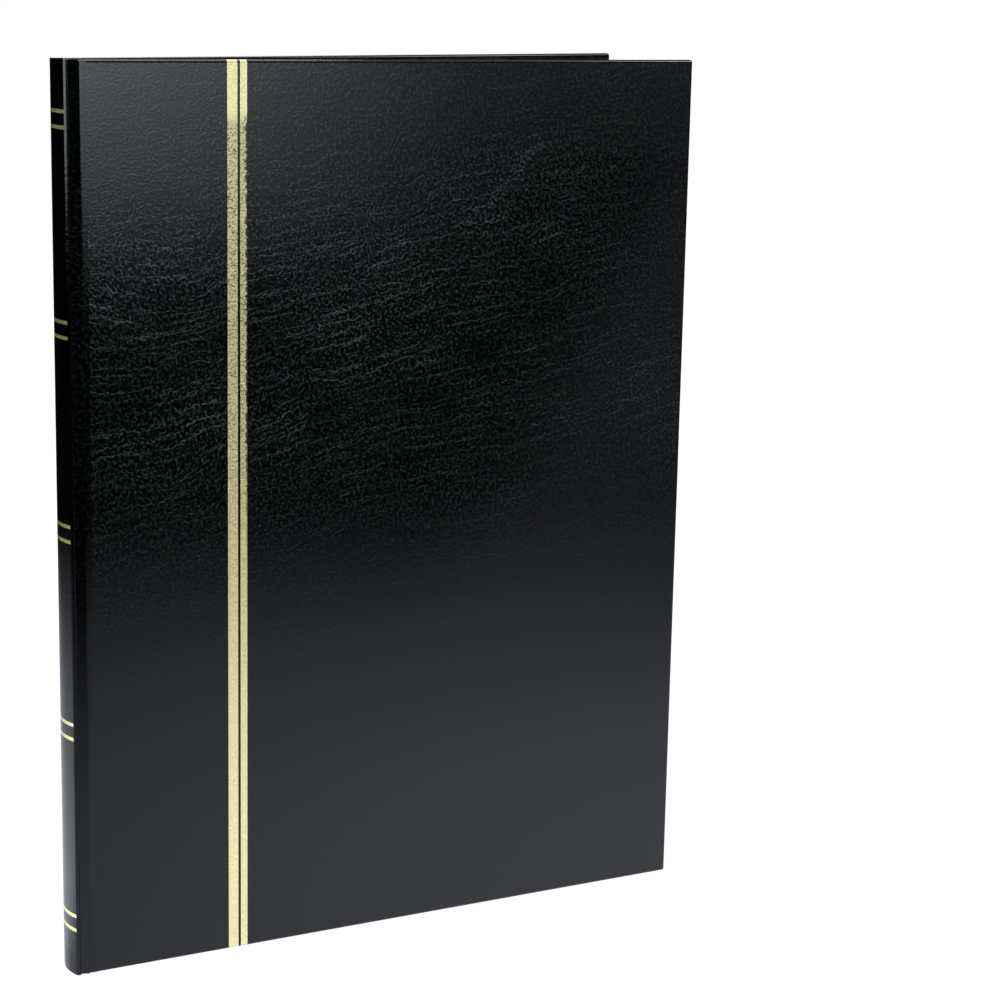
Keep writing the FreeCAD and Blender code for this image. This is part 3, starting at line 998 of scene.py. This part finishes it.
@dataclass
class Joint(Bend):
    """The grooved leatherette between the spine and one cover, from a place in the groove on."""

    still_before: float = 3.3 * MM
    turned_after: float = 5.6 * MM
    thickness: float = 0.40 * MM
    starts_at_mm: float = 2.9
    lift_mm: float = 0.012
    tuck: float = 0.30 * MM
    tuck_after: float = 2.2 * MM

    def build(self) -> Piece:
        """Model the joint strip.

        Returns:
            The strip, blended between the spine and the cover.
        """
        label = self.side.label
        plan = [self.rest(x, depth - self.lift_mm) for x, depth in curve(JOINT_PLAN) if x > self.starts_at_mm]
        strip = sheet(f"{label}_joint_skin", plan, self.shape.height)
        for end, shift in ((0.0, self.tuck), (self.shape.height, -self.tuck)):
            pick_points(strip, lambda p: (abs(p.z - end) < SAME_PLACE
                                          and (p - self.hinge.place).xy.length > self.tuck_after))
            bpy.ops.transform.translate(value=(0.0, 0.0, shift))
            leave()
        thicken(strip, self.thickness, Vector((0.0, self.side.value, 0.0)))
        finish = Leatherette(f"leatherette_{label}_joint", -self.hinge.turn, net=0.35, crease=0.0)
        dress(strip, finish.material())
        self.tie(strip, f"{label}_joint_leatherette")
        return strip


@dataclass
class InnerHinge(Bend):
    """The linen strip inside one joint, from the block to the cover."""

    still_before: float = 3.6 * MM
    turned_after: float = 6.2 * MM
    thickness: float = 0.14 * MM
    steps: int = 3

    def build(self, node: Piece, finish: Material) -> Piece:
        """Model the linen strip.

        Args:
            node: The CAD node that it stands for.
            finish: The linen.

        Returns:
            The strip, blended between the spine and the cover.
        """
        low, high = self.hinge.shut_box(node)
        plan = [self.rest(x, depth) for x, depth in curve(LINEN_PLAN, self.steps)]
        strip = sheet(f"{self.side.label}_linen_joint", plan, high.z - low.z, low.z)
        thicken(strip, self.thickness, Vector((0.0, -self.side.value, 0.0)))
        dress(strip, finish)
        self.tie(strip, node.name)
        return strip


@dataclass
class Spine:
    """The rounded leatherette of the spine, with its shoulders turned down into the grooves."""

    shape: CaseShape
    sink: float = 0.03 * MM
    thickness: float = 0.40 * MM
    arc_steps: int = 24
    ends_at_mm: float = 3.4
    turned_in: float = 1.2 * MM
    turned_until: float = 2.55 * MM
    fold: float = 0.15 * MM

    def build(self) -> Piece:
        """Model the spine's skin.

        Returns:
            The skin, riding on the spine.
        """
        plan = self._half(Side.FRONT)[:0:-1] + self._half(Side.BACK)
        skin = sheet("spine_skin", plan, self.shape.height)
        for end in (0.0, self.shape.height):
            self._turn_in(skin, end)
        thicken(skin, self.thickness, Vector((-1.0, 0.0, 0.0)))
        modify(skin, "BEVEL", width=self.fold, segments=3, limit_method="ANGLE", angle_limit=math.radians(70))
        smooth(skin, SMOOTH_ANGLE)
        dress(skin, Leatherette("leatherette_spine", net=0.08, crease=0.0).material())
        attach(skin, "spine")
        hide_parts("spine_leatherette")
        return skin

    def _half(self, side: Side) -> list[Vector]:
        """Plan points of one half of the skin.

        Args:
            side: Which half.

        Returns:
            Points from the apex to the bottom of the groove.
        """
        radius, bow = self.shape.radius, self.shape.radius - self.sink
        points = []
        for step in range(self.arc_steps):
            angle = self.shape.half_angle * step / self.arc_steps
            points.append(Vector((self.shape.apex + radius - bow * math.cos(angle),
                                  self.shape.middle + side.value * bow * math.sin(angle), 0.0)))
        return points + [self.shape.shut_point(x, depth, side)
                         for x, depth in curve(JOINT_PLAN) if x < self.ends_at_mm]

    def _turn_in(self, skin: Piece, end: float) -> None:
        """Turn the skin in over one end of the spine's board.

        Args:
            skin: The spine's skin, without thickness.
            end: Height of the end.
        """
        limit = self.shape.apex + self.turned_until
        pick_edges(skin, lambda a, b: all(abs(p.z - end) < SAME_PLACE and p.x < limit for p in (a, b)))
        bpy.ops.mesh.extrude_edges_move(TRANSFORM_OT_translate={"value": (self.turned_in, 0.0, 0.0)})
        share = 1 - self.turned_in / self.shape.face
        bpy.ops.transform.resize(value=(1.0, share, 1.0), center_override=(0.0, self.shape.middle, end))
        leave()


@dataclass
class PageStrips:
    """The glassine strips of one page, held a hair off the card so that light passes under them."""

    node: Piece
    leaf: Piece
    finish: Material
    lift: float = 0.03 * MM

    def build(self) -> None:
        """Model the strips from a copy of their node, riding on their leaf."""
        strips = bpy.data.objects.new(f"glassine_{self.node.name}", self.node.data.copy())
        bpy.context.scene.collection.objects.link(strips)
        pick_points(strips, lambda _: True)
        bpy.ops.mesh.remove_doubles(threshold=SAME_PLACE)
        leave()
        away = max(strips.data.polygons, key=lambda face: face.area).normal.copy()
        if away.dot(self._middle(strips) - self._middle(self.leaf)) < 0:
            away.negate()
        pick_faces(strips, lambda _, normal: normal.dot(away) < -SAME_WAY)
        bpy.ops.transform.translate(value=away * self.lift)
        leave()
        dress(strips, self.finish)
        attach(strips, self.leaf["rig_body"])
        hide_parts(self.node.name)

    @staticmethod
    def _middle(piece: Piece) -> Vector:
        """Middle of a piece's box."""
        return sum((Vector(corner) for corner in piece.bound_box), Vector()) / 8


class Block:
    """The book block: sheets and boards that keep their CAD shape, and the lifted strips of its pages."""

    # Part of a node's name and the finish of such nodes; the first part that is found counts.
    FINISHES = (
        ("foil", GiltFoil("gilt_foil_spine", metal=0.86, worn=0.0)),
        ("strips", Glassine("page_glassine", (0.95, 0.96, 0.97), (0.89, 0.91, 0.93), 0.022, 0.02)),
        ("interleaf", Glassine("interleaf_glassine", (0.88, 0.89, 0.88), (0.78, 0.80, 0.80), 0.50, 0.2)),
        ("linen", Linen("white_linen")),
        ("pastedown", Paper("pastedown_paper", (0.80, 0.80, 0.78), (0.71, 0.71, 0.69), 1700.0)),
        ("lining", Paper("lining_paper", (0.66, 0.63, 0.57), (0.52, 0.49, 0.44), 1100.0)),
        ("stubs", Paper("guard_card", (0.80, 0.79, 0.77), (0.66, 0.65, 0.62), 1200.0)),
        ("board", Paper("grey_board", (0.40, 0.385, 0.36), (0.24, 0.23, 0.21), 900.0, 0.05 * MM, 0.85)),
        ("leaf", Paper("page_card", (0.82, 0.83, 0.84), (0.74, 0.75, 0.77))),
    )

    def __init__(self, nodes: dict[str, Piece]) -> None:
        """Keep the frame's nodes and make the block's materials."""
        self.nodes = nodes
        self.materials = {part: finish.material() for part, finish in self.FINISHES}

    def material_of(self, node: str) -> Material:
        """Material of a node, found by its name."""
        return next(material for part, material in self.materials.items() if part in node)

    def lift_strips(self) -> int:
        """Put lifted strips on every page.

        Returns:
            How many pages have strips.
        """
        pages = [name for name in self.nodes if "_strips_" in name]
        for name in pages:
            leaf = self.nodes["leaf_" + name.rsplit("_", 1)[1]]
            PageStrips(self.nodes[name], leaf, self.material_of(name)).build()
        return len(pages)

    def dress(self) -> int:
        """Give every node that still shows its finish.

        Returns:
            How many nodes were dressed.
        """
        count = 0
        for name, node in self.nodes.items():
            if not node.hide_render:
                dress(node, self.material_of(name))
                count += 1
        return count


@dataclass(frozen=True)
class View:
    """The photograph's camera, fitted to the album's edges."""

    place: Vector = Vector((-312.18, -732.92, 336.98)) * MM
    yaw: float = math.radians(26.631)
    pitch: float = math.radians(-10.783)
    roll: float = math.radians(1.179)
    focal_pixels: float = 2286.9
    middle_row: float = 400.0

    def add(self) -> None:
        """Make the camera and use it."""
        data = bpy.data.cameras.new("photo_camera")
        data.sensor_width = SENSOR_MM
        data.lens = self.focal_pixels * SENSOR_MM / FRAME_PIXELS
        data.shift_y = (self.middle_row - FRAME_PIXELS / 2) / FRAME_PIXELS
        data.clip_start = 0.01
        camera = bpy.data.objects.new("photo_camera", data)
        bpy.context.scene.collection.objects.link(camera)
        turns = ((-self.yaw, "Z"), (math.pi / 2 + self.pitch, "X"), (self.roll, "Z"))
        camera.matrix_world = Matrix.Translation(self.place)
        for angle, axis in turns:
            camera.matrix_world @= Matrix.Rotation(angle, 4, axis)
        bpy.context.scene.camera = camera


@dataclass(frozen=True)
class Lamp:
    """One soft box."""

    name: str
    place: tuple[float, float, float]
    size: Pair
    watts: float
    target: tuple[float, float, float] = (0.0, 0.0, 0.15)

    def add(self) -> None:
        """Make the area light and aim it."""
        data = bpy.data.lights.new(self.name, "AREA")
        data.shape = "RECTANGLE"
        data.size, data.size_y = self.size
        data.energy = self.watts
        lamp = bpy.data.objects.new(self.name, data)
        bpy.context.scene.collection.objects.link(lamp)
        lamp.location = self.place
        aim = Vector(self.target) - Vector(self.place)
        lamp.rotation_euler = aim.to_track_quat("-Z", "Y").to_euler()


@dataclass(frozen=True)
class Studio:
    """White floor and surroundings, soft boxes, and the dark room that the glossy case mirrors."""

    spine_x: float

    LAMPS = (
        Lamp("key_box", (-0.9, -1.1, 1.9), (0.9, 0.9), 36.0),
        Lamp("fill_box", (1.6, -0.9, 1.4), (0.8, 0.8), 14.0),
        Lamp("back_box", (0.3, 1.5, 1.5), (1.0, 0.8), 14.0),
    )
    # The mirrored room is turned a little towards the camera's side.
    TURN = math.radians(5.5)
    FLOOR_SIZE = 14.0
    FLOOR_GAP = 0.2 * MM
    FLOOR_GREY = (0.86, 0.86, 0.86, 1.0)
    WHITE = (1.0, 1.0, 1.0, 1.0)
    ROOM_GREY = (0.42, 0.425, 0.43, 1.0)
    TABLE_TINT = (0.95, 1.0, 1.12, 1.0)
    CARD_TINT = (0.90, 1.0, 1.07, 1.0)
    CARD_HEIGHT = 0.9
    CARD_FADE = (0.8, 0.4)

    def build(self) -> None:
        """Add the floor, the reflected cards, the world and the lamps."""
        self._floor()
        self._card("front_card", (0.306, -3.185, 0.45), self.TURN, 4.0, self._front_glow)
        self._card("left_card", (-2.30, -0.70, 0.45), math.radians(-48.0), 2.3, self._left_glow)
        self._world()
        for lamp in self.LAMPS:
            lamp.add()
        bpy.context.scene.view_settings.view_transform = "Standard"

    def _floor(self) -> None:
        """A wide floor that shows white to the camera, keeps a soft shadow and darkens in reflections."""
        deselect()
        bpy.ops.mesh.primitive_plane_add(size=self.FLOOR_SIZE, location=(0.0, 0.0, -self.FLOOR_GAP))
        floor = bpy.context.object
        floor.name = "floor"
        settle(floor)
        graph = Graph("floor_white")
        camera, glossy = graph.rays()
        plain = graph.add("ShaderNodeBsdfDiffuse", None, {"Color": self.FLOOR_GREY})
        white = graph.add("ShaderNodeEmission", None, {"Color": self.WHITE, "Strength": 1.12})
        mirrored = graph.add("ShaderNodeEmission", None,
                             {"Color": self.TABLE_TINT, "Strength": self._table(graph)})
        lit = graph.mixed(0.84, plain, white)
        graph.show(graph.mixed(camera, graph.mixed(glossy, plain, mirrored), lit))
        dress(floor, graph.material)

    def _table(self, graph: Graph) -> Wire:
        """Brightness of the floor in reflections: bright near the album and far off, dark between.

        Args:
            graph: The floor's graph.

        Returns:
            The strength of its glow.
        """
        x, y, _ = graph.axes(graph.object_point(-self.TURN))
        ahead = x - 0.15
        near = ((ahead * ahead + y * y) ** 0.5).ramp(0.70, 0.03) * 1.06
        slant = x / (0.001 - y).greatest(0.001)
        far = (0 - y).ramp(1.45, 3.2) * slant.ramp(0.42, 0.12) * slant.ramp(0.03, 0.13) * 1.25
        beside = (x + 0.52 * y + 0.08).ramp(-0.035, 0.09) * (0 - y).ramp(0.30, 0.60) * 0.17
        return near + far + beside + self._beam(graph) + 0.004

    def _beam(self, graph: Graph) -> Wire:
        """Glow of the floor beside the spine, which only the spine mirrors.

        Args:
            graph: The floor's graph.

        Returns:
            The strength that it adds.
        """
        x, y, _ = graph.axes(graph.object_point())
        left = self.spine_x - x
        gap = (left * left + y * y) ** 0.5
        beam = gap.ramp(0.66, 0.12) * (0.18 + 1.05 * (left / gap) ** 2) * left.ramp(-0.004, 0.010)
        return beam * (y + 1.3 * left).ramp(-0.04, 0.12)

    @staticmethod
    def _front_glow(x: Wire, z: Wire) -> Wire:
        """Brightness of the front card: one broad patch that grows with height and fades along the card.

        Args:
            x: Place along the card from its middle.
            z: Height.

        Returns:
            The strength of its glow.
        """
        along = x + 0.31
        return (1.25 + 6.5 * z.least(0.3)) * (0.10 + 0.90 * along.ramp(1.65, 0.60)) * along.ramp(0.10, 0.35)

    @staticmethod
    def _left_glow(_: Wire, z: Wire) -> Wire:
        """Brightness of the left card: even, apart from its foot."""
        return z.ramp(0.0, 0.15) * 3.6

    def _card(self, name: str, place: tuple[float, float, float], turn: float, width: float,
              glow: Callable[[Wire, Wire], Wire]) -> None:
        """An upright glowing card far off, which only reflections see.

        Args:
            name: Name of the card.
            place: Its middle.
            turn: Its turn about the upright axis.
            width: Its width.
            glow: Brightness from the place along the card, from its middle, and the height.
        """
        deselect()
        bpy.ops.mesh.primitive_plane_add(size=1.0, rotation=(math.pi / 2, 0.0, 0.0))
        card = bpy.context.object
        card.name = name
        card.scale = (width, self.CARD_HEIGHT, 1.0)
        settle(card)
        card.location = place
        card.rotation_euler.z = turn
        for ray in ("visible_camera", "visible_diffuse", "visible_shadow", "visible_transmission"):
            setattr(card, ray, False)
        graph = Graph(name)
        x, _, z = graph.axes(graph.object_point())
        height = z + place[2]
        strength = glow(x, height) * height.ramp(*self.CARD_FADE)
        graph.show(graph.add("ShaderNodeEmission", None, {"Color": self.CARD_TINT, "Strength": strength}))
        dress(card, graph.material)

    def _world(self) -> None:
        """White behind the object, a soft grey room for diffuse light, a dark horizon for reflections."""
        world = bpy.data.worlds.new("studio")
        bpy.context.scene.world = world
        graph = Graph("studio", world)
        camera, glossy = graph.rays()
        _, _, rise = graph.axes(graph.add("ShaderNodeTexCoord", result="Generated"))
        dark = graph.add("ShaderNodeBackground", None, {"Strength": 0.004 + 0.746 * rise.ramp(0.30, 0.75)})
        room = graph.add("ShaderNodeBackground", None, {"Color": self.ROOM_GREY})
        white = graph.add("ShaderNodeBackground", None, {"Color": self.WHITE})
        graph.show(graph.mixed(camera, graph.mixed(glossy, room, dark), white))


def main() -> None:
    """Build the pieces in order and report each one."""
    logging.basicConfig(level=logging.INFO, format="%(message)s")
    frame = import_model()
    nodes = frame["nodes"]
    View().add()
    shape = CaseShape.read(nodes)
    linen = Linen("joint_linen").material()
    for side in Side:
        hinge = Hinge(frame["joints"], side)
        for piece in Cover(side, hinge, nodes).build():
            LOG.info("cover piece %s", piece.name)
        LOG.info("joint piece %s", Joint(side, hinge, shape).build().name)
        inner = InnerHinge(side, hinge, shape).build(nodes[f"{side.label}_inner_hinge"], linen)
        LOG.info("linen piece %s", inner.name)
    LOG.info("spine piece %s", Spine(shape).build().name)
    block_of_leaves = Block(nodes)
    LOG.info("strips on %d pages", block_of_leaves.lift_strips())
    LOG.info("dressed %d sheets and boards", block_of_leaves.dress())
    Studio(shape.apex).build()
    deselect()


if __name__ == "__main__":
    main()
